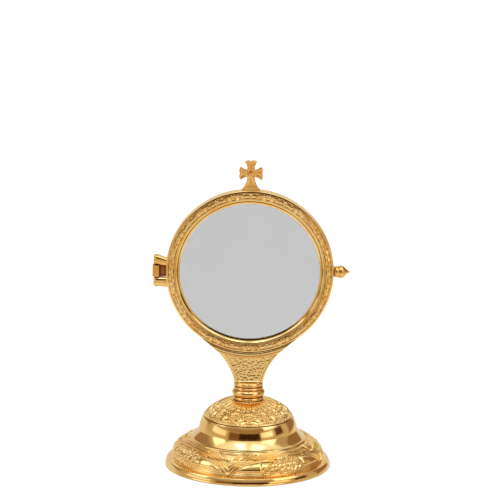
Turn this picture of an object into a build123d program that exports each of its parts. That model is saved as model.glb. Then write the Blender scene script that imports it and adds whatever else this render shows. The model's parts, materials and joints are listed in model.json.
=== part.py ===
from build123d import *
import os
from math import sqrt

# A small gilt table monstrance: a round, glass-windowed case for a large host, whose rear half
# opens on a hinge, on a flared stem and a stepped round foot.
# Millimetres. +Z is up, the front looks along -Y, and the origin is the centre of the plane
# the foot stands on.

# ---- Driving dimensions: case ----
RING_Z = 100.5  # height of the case's axis
RING_R = 42.0  # outer radius of both half rings
WINDOW_R = 35.1  # clear radius of the front window
REAR_WINDOW_R = 36.0  # wider, so that its lip stays out of sight from the front
GLASS_R = 36.6
GLASS_T = 1.2
GLASS_BORE_R = 36.8  # bore that holds a glass
FRONT_GLASS_Y = -1.6  # front face of the front glass
REAR_GLASS_Y = 1.2  # front face of the rear glass
RING_FRONT_Y = -3.4  # crown of the front border
RING_REAR_Y = 3.5  # crown of the rear border
PART_GAP = 0.05  # each half ring stops this far from the parting plane
BEZEL_R = 37.5  # radius at which the bezel drops into the front ring
RETAINER_R_IN = 36.0
RETAINER_R_OUT = 36.75
RETAINER_T = 0.3
RETAINER_SPLIT = 3.0  # width of the gap in each split ring

# ---- Driving dimensions: hinge, clasp and knob ----
HINGE_X = -46.75
HINGE_Z = RING_Z - 0.4
ARM_H = 6.0  # height of the middle knuckle
LUG_H = 5.1  # height of each outer lug
HINGE_GAP = 0.1  # gap between neighbouring knuckles
KNUCKLE_R = 2.0
LUG_R = 1.7
LUG_X = -46.5
PIN_R = 0.8
PIN_CLEARANCE = 0.05
PIN_DOME = 0.3  # height of the pin's domed ends
DOOR_CLEARANCE = 0.3  # room round the door's rim where it swings past fixed pieces
CLASP_H = 4.8
CLASP_T = 0.45
CLASP_GAP = 0.08
CLASP_FRONT_Y = -1.5
CLASP_REAR_Y = 2.3
RIVET_R = 1.0
KNOB_TIP_X = 50.1

# ---- Driving dimensions: stem and foot ----
STEM_Z = 43.3  # bottom of the stem
STEM_SIDE_R = 30.0  # radius of the concave sides
STEM_SIDE_X = 36.7
STEM_SIDE_Z = 37.1
STEM_KNEE_Z = 59.8  # above this the sides run straight, almost tangent to the ring
STEM_TIP_Z = 66.3  # top of the two horns that run up the ring
STEM_FRONT_Y = 3.4  # half depth beside the ring
STEM_FOOT_Y = 5.2  # half depth at the bottom
STEM_NARROW_Z = 57.0  # where the depth reaches its smaller value
STEM_ROUND = 1.0
PANEL_BORDER = 1.3
PANEL_DEPTH = 0.3
PANEL_TOP_R = 44.4  # radius of the panel's top edge, about the case's axis
PANEL_Z = 44.8
ROD_R = 2.5
ROD_HOLE_R = 2.6
ROD_LOW_Z = 24.0
ROD_TOP_Z = 52.0
FOOT_R = 41.2
FOOT_T = 1.2
FOOT_TOP_Z = 25.2
FOOT_TOP_R = 22.6
FOOT_FLANGE_R = 18.6
DOME_R = 22.4
DOME_TOP_R = 8.0
DOME_TOP_Z = 34.0
SEAT_TOP_Z = 35.8
COLLAR_TOP_Z = 41.0
WASHER_R = 6.4
WASHER_T = 1.2
NUT_T = 4.0
NUT_FLATS = 8.0

# ---- Driving dimensions: cross ----
CROSS_Z = 151.3  # height of the crossing
CROSS_TOP = 6.7
CROSS_HALF_W = 5.95
CROSS_WAIST = 1.9
CROSS_T = 2.2
CROSS_FRONT_Y = -2.5
BOSS_Z = CROSS_Z - 0.4
BOSS_R = 0.8
BOSS_H = 0.5


def turned(outline):
    """Solid of revolution about the upright axis, from a closed outline in (radius, height)."""
    return revolve(Plane.XZ * make_face(outline), Axis.Z)


def ring_turned(outline):
    """Solid of revolution about the case's axis, from a closed outline in (radius, depth)."""
    return Pos(0, 0, RING_Z) * revolve(make_face(outline), Axis.Y)


def cap_arc(start, end, turn=1):
    """Arc that ends square on the axis of revolution: X = 0 for an upright one, else Y = 0."""
    run = abs(end[0] - start[0])
    rise = abs(end[1] - start[1])
    along = rise if end[0] == 0 else run
    return RadiusArc(start, end, turn * (run**2 + rise**2) / (2 * along))


def front_view(y, z):
    """Placement of a front-view sketch: its own origin goes to this depth and height."""
    return Plane.XZ.offset(-y) * Pos(0, z)


def ring_cylinder(radius, y_low, y_high):
    """Plain cylinder about the case's axis, between two depths."""
    return extrude(front_view(y_low, RING_Z) * Circle(radius), y_low - y_high)


def flat_ring(r_in, r_out, y_low, thickness):
    """Flat ring about the case's axis."""
    outer = ring_cylinder(r_out, y_low, y_low + thickness)
    return outer - ring_cylinder(r_in, y_low - 1, y_low + thickness + 1)


# ---- Foot ----
def foot_profile(inset):
    """Closed half section under the foot's outer surface, moved in and down by inset."""
    points = [
        (FOOT_R, 0),
        (40.2, 3.4),
        (37.8, 4.0),
        (33.4, 11.1),
        (29.5, 14.0),
        (28.0, 14.8),
        (24.6, 18.8),
        (FOOT_TOP_R, FOOT_TOP_Z),
    ]
    rim, rim_top, tier_low, tier_top, groove, lip, scotia, step = [
        (r - inset, z - inset) for r, z in points
    ]
    low = (0, rim[1])
    high = (0, step[1])
    return [
        Line(low, rim),
        SagittaArc(rim, rim_top, -0.3),
        Line(rim_top, tier_low),
        SagittaArc(tier_low, tier_top, -1.7),
        SagittaArc(tier_top, groove, -0.45),
        Line(groove, lip),
        SagittaArc(lip, scotia, 0.15),
        SagittaArc(scotia, step, -0.3),
        Line(step, high),
        Line(high, low),
    ]


def foot():
    """Hollow lower foot with a flange that the dome sits on."""
    shell = turned(foot_profile(0)) - turned(foot_profile(FOOT_T))
    return shell - Pos(0, 0, FOOT_TOP_Z) * Cylinder(FOOT_FLANGE_R, 4 * FOOT_T)


def dome_profile(inset):
    """Closed half section under the dome's outer surface, moved in and down by inset."""
    rim_r = DOME_R - inset
    rim_z = FOOT_TOP_Z - inset
    top_r = DOME_TOP_R - inset
    top_z = DOME_TOP_Z - inset
    base = (rim_r - 0.2, rim_z + 0.5)
    return [
        Line((0, rim_z), (rim_r, rim_z)),
        Line((rim_r, rim_z), base),
        SagittaArc(base, (top_r, top_z), -1.45),
        Line((top_r, top_z), (0, top_z)),
        Line((0, top_z), (0, rim_z)),
    ]


def foot_dome():
    """Hollow dome, bored for the tie rod."""
    shell = turned(dome_profile(0)) - turned(dome_profile(FOOT_T))
    return shell - Pos(0, 0, DOME_TOP_Z) * Cylinder(ROD_HOLE_R, 4 * FOOT_T)


def beaded_ring(z_low, z_high, *beads):
    """Turned ring round the tie rod; each bead is (start radius, crown radius, end radius, end height)."""
    start = (beads[0][0], z_low)
    outline = [Line((ROD_HOLE_R, z_low), start)]
    for _, crown_r, end_r, end_z in beads:
        crown = (crown_r, (start[1] + end_z) / 2)
        end = (end_r, end_z)
        outline.append(ThreePointArc(start, crown, end))
        start = end
    outline.append(Line(start, (ROD_HOLE_R, z_high)))
    outline.append(Line((ROD_HOLE_R, z_high), (ROD_HOLE_R, z_low)))
    return turned(outline)


def seat_ring():
    """Thin single-bead ring on top of the dome."""
    return beaded_ring(DOME_TOP_Z, SEAT_TOP_Z, (7.0, 7.7, 7.0, SEAT_TOP_Z))


def collar():
    """Double-bead collar: a tall lower bead and a low upper one."""
    lower = (7.7, 8.2, 7.4, 39.5)
    upper = (7.4, 7.65, 7.2, COLLAR_TOP_Z)
    return beaded_ring(SEAT_TOP_Z, COLLAR_TOP_Z, lower, upper)


def neck_ring():
    """Small ring under the stem."""
    return beaded_ring(COLLAR_TOP_Z, STEM_Z, (7.1, 7.4, 7.1, STEM_Z))


def tie_rod():
    """Rod from the nut under the dome up into the stem."""
    return Pos(0, 0, ROD_LOW_Z) * Cylinder(
        ROD_R, ROD_TOP_Z - ROD_LOW_Z, align=(Align.CENTER, Align.CENTER, Align.MIN)
    )


def washer_top():
    """Height of the dome's inner face, which the washer bears on."""
    return DOME_TOP_Z - FOOT_T


def clamp_washer():
    """Washer inside the dome."""
    disc = Cylinder(WASHER_R, WASHER_T) - Cylinder(ROD_HOLE_R, 2 * WASHER_T)
    return Pos(0, 0, washer_top() - WASHER_T / 2) * disc


def tie_nut():
    """Hexagon nut under the washer."""
    hexagon = RegularPolygon(NUT_FLATS / 2, 6, major_radius=False) - Circle(ROD_R)
    return extrude(Pos(0, 0, washer_top() - WASHER_T - NUT_T) * hexagon, NUT_T)


# ---- Stem ----
def side_x(z, inset=0.0):
    """Half width of the stem at a height, moved in by inset."""
    radius = STEM_SIDE_R + inset
    return STEM_SIDE_X - sqrt(radius**2 - (z - STEM_SIDE_Z) ** 2)


def concave_side(z_low, z_high, inset=0.0):
    """Right-hand side of the stem's outline, going up."""
    z_mid = (z_low + z_high) / 2
    ends = [(side_x(z, inset), z) for z in (z_low, z_mid, z_high)]
    return ThreePointArc(*ends)


def stem_outline():
    """Front view of the stem, run up past the ring's edge."""
    curve = concave_side(STEM_Z, STEM_KNEE_Z)
    slope = (curve % 1).X / (curve % 1).Y
    tip = (side_x(STEM_KNEE_Z) + slope * (STEM_TIP_Z - STEM_KNEE_Z), STEM_TIP_Z)
    right = [curve, Line(curve @ 1, tip)]
    left = [mirror(edge, Plane.YZ) for edge in right]
    top = Line(tip, (-tip[0], tip[1]))
    bottom = Line(left[0] @ 0, curve @ 0)
    return make_face([bottom] + right + [top] + left)


def panel_outline():
    """Front view of one sunk panel, with its top edge parallel to the ring."""
    corner_z = STEM_Z + 12.4
    corner_x = side_x(corner_z, PANEL_BORDER)
    corner_z = RING_Z - sqrt(PANEL_TOP_R**2 - corner_x**2)
    right = concave_side(PANEL_Z, corner_z, PANEL_BORDER)
    left = mirror(right, Plane.YZ)
    top = ThreePointArc(right @ 1, (0, RING_Z - PANEL_TOP_R), left @ 1)
    bottom = Line(left @ 0, right @ 0)
    return make_face([bottom, right, top, left])


def stem_side_view():
    """Side view of the stem: deeper at the foot, as deep as the case at the top."""
    knee = (STEM_FRONT_Y, STEM_NARROW_Z)
    front = SagittaArc((STEM_FOOT_Y, STEM_Z), knee, 0.6)
    edges = [front, Line(knee, (STEM_FRONT_Y, STEM_TIP_Z))]
    back = [mirror(edge, Plane.YZ) for edge in edges]
    top = Line(edges[-1] @ 1, back[-1] @ 1)
    bottom = Line(back[0] @ 0, front @ 0)
    return make_face(edges + [top] + back + [bottom])


def stem(ring):
    """Flared bracket, fitted to the front ring and clear of the door, rounded, with sunk panels."""
    depth = 4 * STEM_FOOT_Y
    slab = extrude(Plane.XZ * stem_outline(), depth / 2, both=True)
    body = slab & extrude(Plane.YZ * stem_side_view(), 2 * STEM_SIDE_X, both=True)
    body -= ring_cylinder(RING_R + DOOR_CLEARANCE, 0, depth)
    body -= ring_cylinder(RING_R, -depth, 1)
    rod_hole = Cylinder(ROD_R, ROD_TOP_Z - ROD_LOW_Z)
    body -= Pos(0, 0, (ROD_LOW_Z + ROD_TOP_Z) / 2) * rod_hole
    uprights = [e for e in body.edges() if e.length > 10 and abs(e.center().X) > ROD_R]
    body = fillet([e for e in uprights if e.bounding_box().size.Z > 4], STEM_ROUND)
    return body - sunk_panel(-1) - sunk_panel(1) - ring


def sunk_panel(side):
    """Cutter for the panel on one side (-1 front, 1 back), at a constant depth in the face."""
    column = extrude(Plane.XZ * panel_outline(), -side * 3 * STEM_FOOT_Y)
    core = extrude(Plane.YZ * stem_side_view(), 2 * STEM_SIDE_X, both=True)
    return column - Pos(0, -side * PANEL_DEPTH, 0) * core


# ---- Case: front half ----
def ring_front():
    """Front half ring: bored for the glass, counterbored for the bezel, with a convex border."""
    edge = (RING_R, -1.6)
    shoulder = (40.9, -2.95)
    inner = (BEZEL_R, -3.0)
    outline = [
        Line((GLASS_BORE_R, -PART_GAP), (RING_R, -PART_GAP)),
        Line((RING_R, -PART_GAP), edge),
        SagittaArc(edge, shoulder, 0.35),
        ThreePointArc(shoulder, (39.3, RING_FRONT_Y), inner),
        Line(inner, (BEZEL_R, FRONT_GLASS_Y)),
        Line((BEZEL_R, FRONT_GLASS_Y), (GLASS_BORE_R, FRONT_GLASS_Y)),
        Line((GLASS_BORE_R, FRONT_GLASS_Y), (GLASS_BORE_R, -PART_GAP)),
    ]
    return ring_turned(outline)


def bezel_ring():
    """Polished inner bezel: a bead and a cone down to the window; the glass bears on its back."""
    outer_r = BEZEL_R - 0.05
    cone_low = (WINDOW_R, -1.75)
    cone_high = (36.1, -2.75)
    bead_end = (outer_r, -2.85)
    outline = [
        Line((WINDOW_R, FRONT_GLASS_Y), cone_low),
        Line(cone_low, cone_high),
        ThreePointArc(cone_high, (36.8, -3.3), bead_end),
        Line(bead_end, (outer_r, FRONT_GLASS_Y)),
        Line((outer_r, FRONT_GLASS_Y), (WINDOW_R, FRONT_GLASS_Y)),
    ]
    return ring_turned(outline)


def glass(y_low):
    """Round window pane."""
    return ring_cylinder(GLASS_R, y_low, y_low + GLASS_T)


def split_ring(y_low):
    """Flat snap ring that holds a glass, open at the bottom."""
    ring = flat_ring(RETAINER_R_IN, RETAINER_R_OUT, y_low, RETAINER_T)
    return ring - Pos(0, y_low, RING_Z - GLASS_R) * Box(RETAINER_SPLIT, 2, 2 * RETAINER_SPLIT)


# ---- Case: rear half ----
def door_ring():
    """Rear half ring: bored for the glass, with a lip that the glass bears on and a rounded back."""
    edge = (RING_R, 1.7)
    shoulder = (40.9, 3.05)
    bead = (37.9, 3.1)
    lip_y = REAR_GLASS_Y + GLASS_T
    lip = (REAR_WINDOW_R, lip_y + 0.25)
    outline = [
        Line((GLASS_BORE_R, PART_GAP), (RING_R, PART_GAP)),
        Line((RING_R, PART_GAP), edge),
        SagittaArc(edge, shoulder, -0.35),
        ThreePointArc(shoulder, (39.4, RING_REAR_Y), bead),
        ThreePointArc(bead, (37.1, 3.4), (36.3, 3.0)),
        Line((36.3, 3.0), lip),
        Line(lip, (REAR_WINDOW_R, lip_y)),
        Line((REAR_WINDOW_R, lip_y), (GLASS_BORE_R, lip_y)),
        Line((GLASS_BORE_R, lip_y), (GLASS_BORE_R, PART_GAP)),
    ]
    return ring_turned(outline)


# ---- Hinge ----
def lug(z_low):
    """One outer hinge lug: a rounded eye that runs into the front ring's wall."""
    eye = Pos(LUG_X, -0.1) * Circle(LUG_R)
    root_x = 1 - RING_R
    arm = Polygon(
        (LUG_X, -0.1), (LUG_X, -0.1 - LUG_R), (root_x, -2.5), (root_x, -0.1), align=None
    )
    block = extrude(Pos(0, 0, z_low) * (eye + arm), LUG_H)
    rims = [e for e in block.edges() if e.center().X < root_x - 0.5 and e.length > LUG_R]
    rims = [e for e in rims if e.bounding_box().size.Z < 0.1]
    return fillet(rims, 0.5)


def hinge_lugs(ring):
    """Both lugs, bored for the pin and fitted against the front ring."""
    low = HINGE_Z - ARM_H / 2 - HINGE_GAP - LUG_H
    high = HINGE_Z + ARM_H / 2 + HINGE_GAP
    pin_bore = Pos(HINGE_X, 0, HINGE_Z) * Cylinder(PIN_R, 4 * ARM_H)
    return [lug(z) - ring - pin_bore for z in (low, high)]


def hinge_arm(ring):
    """Middle knuckle with its arm, fitted against the door ring."""
    knuckle = Pos(HINGE_X, 0) * Circle(KNUCKLE_R)
    arm = Pos((HINGE_X - RING_R + 1) / 2, 1.05) * Rectangle(-HINGE_X - RING_R + 1, 1.75)
    block = extrude(Pos(0, 0, HINGE_Z - ARM_H / 2) * (knuckle + arm), ARM_H)
    bore = Pos(HINGE_X, 0, HINGE_Z) * Cylinder(PIN_R + PIN_CLEARANCE, 2 * ARM_H)
    return block - ring - bore


def hinge_pin():
    """Pin through all three knuckles, with low domed ends."""
    half = ARM_H / 2 + HINGE_GAP + LUG_H
    crown = half + PIN_DOME
    upper = [Line((PIN_R, 0), (PIN_R, half)), cap_arc((PIN_R, half), (0, crown), -1)]
    lower = [mirror(edge, Plane.XZ) for edge in upper]
    return Pos(HINGE_X, 0, HINGE_Z) * turned(upper + lower + [Line((0, crown), (0, -crown))])


# ---- Clasp and knob ----
def clasp_tab():
    """Curved tab on the door's rim that lies just clear of the front ring's wall."""
    shell = ring_cylinder(RING_R + CLASP_T, CLASP_FRONT_Y, CLASP_REAR_Y)
    shell -= ring_cylinder(RING_R, CLASP_FRONT_Y, CLASP_REAR_Y)
    shell -= ring_cylinder(RING_R + CLASP_GAP, CLASP_FRONT_Y, PART_GAP)
    tab = shell & Pos(RING_R, 0, RING_Z) * Box(2 * CLASP_H, 4 * CLASP_H, CLASP_H)
    return tab - Pos(RING_R, 0, RING_Z) * Rot(0, 90, 0) * Cylinder(RIVET_R, 4)


def door_knob():
    """Turned knob: small bead, large bead and a drawn-out rounded tip, with its rivet shank."""
    base_x = RING_R + CLASP_T
    shank_x = RING_R + 2 * CLASP_GAP
    neck = (44.1, 2.75)
    waist = (47.4, 2.3)
    tip_low = (49.4, 0.6)
    tip = (KNOB_TIP_X, 0)
    outline = [
        Line((shank_x, 0), (shank_x, RIVET_R)),
        Line((shank_x, RIVET_R), (base_x, RIVET_R)),
        Line((base_x, RIVET_R), (base_x, 2.3)),
        ThreePointArc((base_x, 2.3), (43.3, 2.9), neck),
        ThreePointArc(neck, (45.6, 3.1), waist),
        SagittaArc(waist, tip_low, -0.12),
        cap_arc(tip_low, tip),
        Line(tip, (shank_x, 0)),
    ]
    return Pos(0, 0, RING_Z) * revolve(Plane.XZ * make_face(outline), Axis.X)


# ---- Cross ----
def cross_outline():
    """Front view: four flared arms with forked ends, the lowest on a small foot."""
    root = (CROSS_WAIST, CROSS_WAIST - 0.2)
    top_corner = (2.95, CROSS_TOP - 0.7)
    top_notch = (0, CROSS_TOP - 0.5)
    side_corner = (5.1, 3.35)
    side_notch = (CROSS_HALF_W - 0.45, 0)
    low_root = (root[0], -root[1])
    low_corner = (3.35, -6.85)
    foot_corner = (4.4, -8.0)
    bottom = -10.4
    half = [
        ThreePointArc(top_notch, (1.9, CROSS_TOP), top_corner),
        SagittaArc(top_corner, root, -0.35),
        SagittaArc(root, side_corner, -0.25),
        ThreePointArc(side_corner, (CROSS_HALF_W, 2.2), side_notch),
        ThreePointArc(side_notch, (CROSS_HALF_W, -2.2), (side_corner[0], -side_corner[1])),
        SagittaArc((side_corner[0], -side_corner[1]), low_root, -0.25),
        SagittaArc(low_root, low_corner, -0.4),
        SagittaArc(low_corner, foot_corner, -0.15),
        Line(foot_corner, (foot_corner[0], bottom)),
        Line((foot_corner[0], bottom), (0, bottom)),
    ]
    return make_face(half + [mirror(edge, Plane.YZ) for edge in half])


def cross(ring):
    """Cross finial, fitted to the top of the front ring."""
    return extrude(front_view(CROSS_FRONT_Y, CROSS_Z) * cross_outline(), -CROSS_T) - ring


def cross_boss():
    """Small domed boss on the crossing."""
    half = [
        Line((0, 0), (BOSS_R, 0)),
        cap_arc((BOSS_R, 0), (0, BOSS_H), -1),
        Line((0, BOSS_H), (0, 0)),
    ]
    return Pos(0, CROSS_FRONT_Y, BOSS_Z) * Rot(90, 0, 0) * turned(half)


def build():
    """Every piece by its name, in its place."""
    front = ring_front()
    rear = door_ring()
    return {
        "foot": foot(),
        "foot_dome": foot_dome(),
        "seat_ring": seat_ring(),
        "collar": collar(),
        "neck_ring": neck_ring(),
        "tie_rod": tie_rod(),
        "clamp_washer": clamp_washer(),
        "tie_nut": tie_nut(),
        "stem": stem(front),
        "ring_front": front,
        "bezel_ring": bezel_ring(),
        "front_glass": glass(FRONT_GLASS_Y),
        "front_glass_retainer": split_ring(FRONT_GLASS_Y + GLASS_T),
        "hinge_lugs": Compound(children=hinge_lugs(front)),
        "hinge_pin": hinge_pin(),
        "cross": cross(front),
        "cross_boss": cross_boss(),
        "door_ring": rear,
        "rear_glass": glass(REAR_GLASS_Y),
        "rear_glass_retainer": split_ring(REAR_GLASS_Y - RETAINER_T),
        "hinge_arm": hinge_arm(rear),
        "clasp_tab": clasp_tab(),
        "door_knob": door_knob(),
    }


os.makedirs("parts", exist_ok=True)
for node, shape in build().items():
    export_step(shape, f"parts/{node}.step")
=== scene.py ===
"""Looks of a small gilt table monstrance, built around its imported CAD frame.

Shapes are in millimetres until a mesh is made. Around the stand's axis, azimuth 0 faces the
front (-Y) and grows towards the knob (+X). Around the case's axis, azimuth 0 is at the top.
"""
import json
from math import asin, ceil, copysign, cos, pi, radians, sin, sqrt

import bmesh
import bpy
import numpy as np
from mathutils import Matrix, Vector

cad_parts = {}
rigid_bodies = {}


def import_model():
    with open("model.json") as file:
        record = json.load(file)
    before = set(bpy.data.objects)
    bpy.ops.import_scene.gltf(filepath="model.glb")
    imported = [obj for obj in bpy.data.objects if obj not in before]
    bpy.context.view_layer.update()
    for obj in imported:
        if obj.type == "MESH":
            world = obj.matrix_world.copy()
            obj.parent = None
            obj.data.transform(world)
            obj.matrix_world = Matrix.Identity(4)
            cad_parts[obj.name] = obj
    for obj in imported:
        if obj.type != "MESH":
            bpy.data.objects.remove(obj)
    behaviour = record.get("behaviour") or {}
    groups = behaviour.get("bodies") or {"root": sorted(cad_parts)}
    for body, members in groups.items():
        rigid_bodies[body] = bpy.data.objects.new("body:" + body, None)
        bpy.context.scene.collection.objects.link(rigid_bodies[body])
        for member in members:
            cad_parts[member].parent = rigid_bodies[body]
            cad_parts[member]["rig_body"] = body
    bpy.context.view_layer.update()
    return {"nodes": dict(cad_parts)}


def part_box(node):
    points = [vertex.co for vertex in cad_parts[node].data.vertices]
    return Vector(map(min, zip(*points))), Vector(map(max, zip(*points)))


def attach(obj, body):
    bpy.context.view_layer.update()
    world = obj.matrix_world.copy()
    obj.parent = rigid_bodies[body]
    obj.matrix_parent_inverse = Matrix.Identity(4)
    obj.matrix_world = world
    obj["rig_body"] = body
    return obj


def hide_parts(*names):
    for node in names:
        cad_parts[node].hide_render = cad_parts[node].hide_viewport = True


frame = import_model()

MM = 0.001
SEED = 7


def box_mm(node):
    """Lowest and highest corner of a CAD node in millimetres, as arrays."""
    low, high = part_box(node)
    return np.array(low) / MM, np.array(high) / MM


# ---- Sizes read from the frame, in millimetres ----
FOOT_R, _, FOOT_TOP = box_mm("foot")[1]
DOME_R, _, DOME_TOP = box_mm("foot_dome")[1]
SEAT_TOP = box_mm("seat_ring")[1][2]
COLLAR_TOP = box_mm("collar")[1][2]
STEM_LOW = box_mm("stem")[0][2]
STEM_DEPTH = box_mm("stem")[1][1]
RING_LOW, RING_HIGH = box_mm("door_ring")
RING_R = (RING_HIGH[0] - RING_LOW[0]) / 2
RING_Z = (RING_HIGH[2] + RING_LOW[2]) / 2
CASE_CENTRE = (0, 0, RING_Z)
FRONT_Y = box_mm("ring_front")[0][1]
GLASS_Y = box_mm("front_glass")[0][1]
ROD_R = box_mm("tie_rod")[1][0]
ROD_HOLE_R = ROD_R + 0.1


# ---- Outlines ----
TINY = 1e-6
MOST_SOFTENED = 0.4  # largest share of a leg that a softened corner takes
CORNER_STEPS = np.array([0.25, 0.5, 0.75])[:, None]


def travelled(points):
    """Distance along an outline to each of its points."""
    return np.r_[0, np.cumsum(np.hypot(*np.diff(points, axis=0).T))]


def arc_points(start, end, sagitta, step):
    """Points from start to end along an arc; a positive sagitta bows to the right of the way."""
    start, end = np.array(start, float), np.array(end, float)
    chord = end - start
    length = np.hypot(*chord)
    t = np.linspace(0, 1, max(2, int(ceil(length / step)) + 1))
    if abs(sagitta) < TINY:
        return start + t[:, None] * chord
    radius = (length**2 / 4 + sagitta**2) / (2 * abs(sagitta))
    half = asin(min(1.0, length / 2 / radius))
    along = chord / length
    side = np.array([along[1], -along[0]]) * copysign(1, sagitta)
    angle = (2 * t - 1) * half
    offset = radius * (np.cos(angle) - cos(half))
    run = length / 2 + radius * np.sin(angle)
    return start + run[:, None] * along + offset[:, None] * side


def outline(start, *legs, soften=0.15):
    """Points round a closed outline whose legs are (end, sagitta, step), with softened corners.

    Returns the points and the index of each one's leg."""
    runs, here = [], start
    for end, sagitta, step in legs:
        runs.append(arc_points(here, end, sagitta, step))
        here = end
    points, legs_of = [], []
    for i, run in enumerate(runs):
        lengths = travelled(run)
        cut = min(soften, lengths[-1] * MOST_SOFTENED)
        keep = (lengths > cut + TINY) & (lengths < lengths[-1] - cut - TINY)
        at = np.r_[cut, lengths[keep], lengths[-1] - cut]
        body = np.c_[np.interp(at, lengths, run[:, 0]), np.interp(at, lengths, run[:, 1])]
        after = runs[(i + 1) % len(runs)]
        reach = travelled(after)
        cut_after = min(soften, reach[-1] * MOST_SOFTENED)
        onward = np.array([np.interp(cut_after, reach, after[:, k]) for k in (0, 1)])
        t = CORNER_STEPS
        bend = (1 - t) ** 2 * body[-1] + 2 * t * (1 - t) * run[-1] + t**2 * onward
        points += [body, bend]
        legs_of.append(np.full(len(body) + len(bend), i))
    return np.vstack(points), np.concatenate(legs_of)


def outline_normals(points):
    """Unit normals to the right of the way along a closed outline."""
    tangent = np.roll(points, -1, 0) - np.roll(points, 1, 0)
    tangent /= np.hypot(*tangent.T)[:, None]
    return np.c_[tangent[:, 1], -tangent[:, 0]]


# ---- Meshes and pieces ----
SHARP_ANGLE, BEVEL_ANGLE = radians(30), radians(40)
BEVEL_SEGMENTS = 3


def placed(name, data):
    """Object of the given data, linked to the scene."""
    piece = bpy.data.objects.new(name, data)
    bpy.context.scene.collection.objects.link(piece)
    return piece


def mesh_object(name, points, quads):
    """Smooth-shaded object from points in metres and quads."""
    mesh = bpy.data.meshes.new(name)
    mesh.vertices.add(len(points))
    mesh.vertices.foreach_set("co", points.astype(np.float32).ravel())
    mesh.loops.add(quads.size)
    mesh.loops.foreach_set("vertex_index", quads.astype(np.int32).ravel())
    mesh.polygons.add(len(quads))
    mesh.polygons.foreach_set("loop_start", np.arange(0, quads.size, 4, dtype=np.int32))
    mesh.polygons.foreach_set("use_smooth", np.ones(len(quads), bool))
    mesh.update(calc_edges=True)
    mesh.validate()
    return placed(name, mesh)


def looped_grid(name, co):
    """Object from a grid of points in millimetres that wraps both ways; faces point outwards."""
    rows, columns = co.shape[:2]
    i, j = np.meshgrid(np.arange(rows), np.arange(columns), indexing="ij")
    i2, j2 = (i + 1) % rows, (j + 1) % columns
    quads = np.stack([i * columns + j, i2 * columns + j, i2 * columns + j2, i * columns + j2], -1)
    quads = quads.reshape(-1, 4)
    points = co.reshape(-1, 3) * MM
    a, b, c, d = (points[quads[:, k]] for k in range(4))
    volume = np.einsum("ij,ij->i", a, np.cross(b, c)) + np.einsum("ij,ij->i", a, np.cross(c, d))
    if volume.sum() < 0:
        quads = quads[:, ::-1]
    return mesh_object(name, points, quads)


def mirrored_tube(name, co):
    """Tube from a grid in millimetres whose columns mirror each other about the first.

    Its ends are closed with faces between mirrored columns."""
    rows, columns = co.shape[:2]
    i, j = np.meshgrid(np.arange(rows - 1), np.arange(columns), indexing="ij")
    j2 = (j + 1) % columns
    here, after = i * columns, (i + 1) * columns
    quads = np.stack([here + j, here + j2, after + j2, after + j])
    faces = quads.reshape(4, -1).T.tolist()
    for row in (0, rows - 1):
        for k in range(columns // 2):
            corners = (k, k + 1, (columns - k - 1) % columns, (columns - k) % columns)
            faces.append(list(dict.fromkeys(row * columns + m for m in corners)))
    mesh = bpy.data.meshes.new(name)
    mesh.from_pydata((co.reshape(-1, 3) * MM).tolist(), [], faces)
    work = bmesh.new()
    work.from_mesh(mesh)
    bmesh.ops.recalc_face_normals(work, faces=work.faces)
    work.to_mesh(mesh)
    work.free()
    mesh.shade_smooth()
    return placed(name, mesh)


def lathe(name, points, around, height=None, about="z", centre=(0, 0, 0)):
    """Closed turned piece; points are (radius, along) round a closed outline.

    height(azimuth) gives how far each point stands out, as rows (azimuth) by columns (points)."""
    azimuth = np.linspace(0, 2 * pi, around, endpoint=False)[:, None]
    r, z = (np.broadcast_to(points[:, k], (around, len(points))) for k in (0, 1))
    if height is not None:
        normals = outline_normals(points)
        rise = height(azimuth)
        r = r + rise * normals[:, 0]
        z = z + rise * normals[:, 1]
    u, v = r * np.sin(azimuth), r * np.cos(azimuth)
    co = {"z": (u, -v, z), "y": (u, z, v), "x": (z, u, v)}[about]
    return looped_grid(name, np.stack(co, -1) + np.array(centre, float))


def stand_in(piece, node, material):
    """Puts a finished piece in place of its CAD node, on the same body and material slot."""
    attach(piece, frame["nodes"][node]["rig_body"])
    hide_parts(node)
    piece.data.materials.clear()
    piece.data.materials.append(material)


def finish_node(node, material, edge=0.0):
    """Gives a CAD node smooth shading, softened edges and a material."""
    piece = frame["nodes"][node]
    piece.data.shade_smooth()
    piece.data.set_sharp_from_angle(angle=SHARP_ANGLE)
    if edge:
        soft = piece.modifiers.new("soft_edges", "BEVEL")
        soft.width = edge * MM
        soft.segments = BEVEL_SEGMENTS
        soft.limit_method = "ANGLE"
        soft.angle_limit = BEVEL_ANGLE
        soft.harden_normals = True
    piece.data.materials.clear()
    piece.data.materials.append(material)


# ---- Relief helpers, all in millimetres ----
LEAF_SKEW, LEAF_SIDES, LEAF_CROWN, LEAF_ENDS = 0.8, 0.75, 0.8, 0.35
LEAF_RIB = 0.22  # half width of the middle groove, as a share of the leaf's half width
LEAF_RIB_FROM, LEAF_RIB_TO = 0.06, 0.9
BEAD_CROWN = 0.7


def wrapped(angle, unit, centre=0.0):
    """Angle from the centre of the nearest repeat, in radians."""
    return (angle - centre + unit / 2) % unit - unit / 2


def ridge(distance, half_width):
    """Rounded ridge of unit height."""
    return np.clip(1 - (distance / half_width) ** 2, 0, 1)


def turned(u, v, cu, cv, turn):
    """Coordinates along and across a direction, from (cu, cv)."""
    c, s = cos(turn), sin(turn)
    return (u - cu) * c + (v - cv) * s, -(u - cu) * s + (v - cv) * c


def bead(u, v, cu, cv, ru, rv, turn=0.0):
    """Rounded oval bead of unit height."""
    along, across = turned(u, v, cu, cv, turn)
    return np.clip(1 - (along / ru) ** 2 - (across / rv) ** 2, 0, 1) ** BEAD_CROWN


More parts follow.
